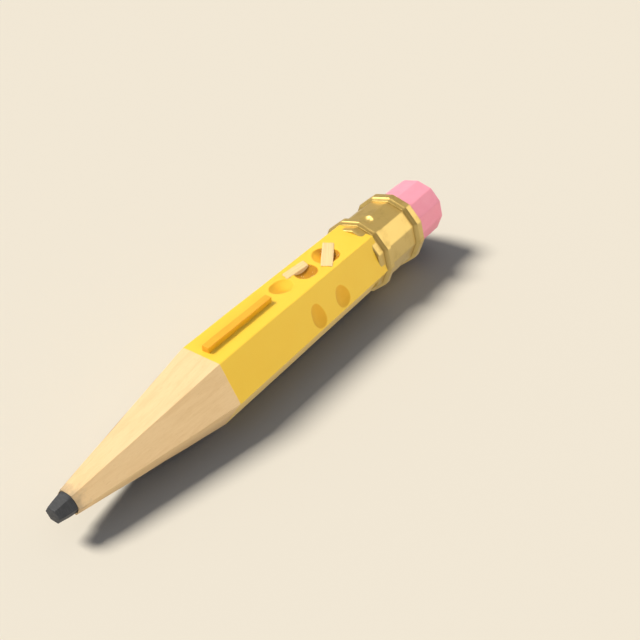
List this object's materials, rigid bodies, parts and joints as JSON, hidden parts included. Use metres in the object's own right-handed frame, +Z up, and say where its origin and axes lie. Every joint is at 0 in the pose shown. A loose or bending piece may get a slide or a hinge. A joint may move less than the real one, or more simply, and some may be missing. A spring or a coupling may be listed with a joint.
{
  "type": "pencil stub",
  "caption": "Short used six-sided pencil stub with a knife-cut blunt point, bitten yellow lacquer with lodged splinters, a beaded brass ferrule and a pink eraser.",
  "frame": {"origin": "middle of the bounding box's base, on the surface that the stub lies on", "axes": "+X along the pencil from the point to the eraser, +Z up; at rest the eraser end is raised about 1.6 degrees because the ferrule's first bead stands proud of the barrel"},
  "size_m": [0.0568, 0.0086, 0.0088],
  "materials": {
    "lacquered_wood": "yellow lacquer over pale wood, bitten and scuffed, bare on the cut taper",
    "bare_wood": "raw pale wood, torn along the grain",
    "graphite": "fired graphite and clay, dull sheen, worn blunt",
    "brass": "thin rolled sheet, satin, lightly scratched",
    "eraser_rubber": "matte pink rubber, smudged and rubbed at its end",
    "orange_print": "thick orange stamped bar, satin"
  },
  "bodies": {
    "root": {"graphite_core": "graphite", "upper_casing": "lacquered_wood", "lower_casing": "lacquered_wood", "ferrule": "brass", "eraser": "eraser_rubber", "imprint_bar": "orange_print", "splinter_front": "bare_wood", "splinter_rear": "bare_wood"}
  },
  "joints": []
}
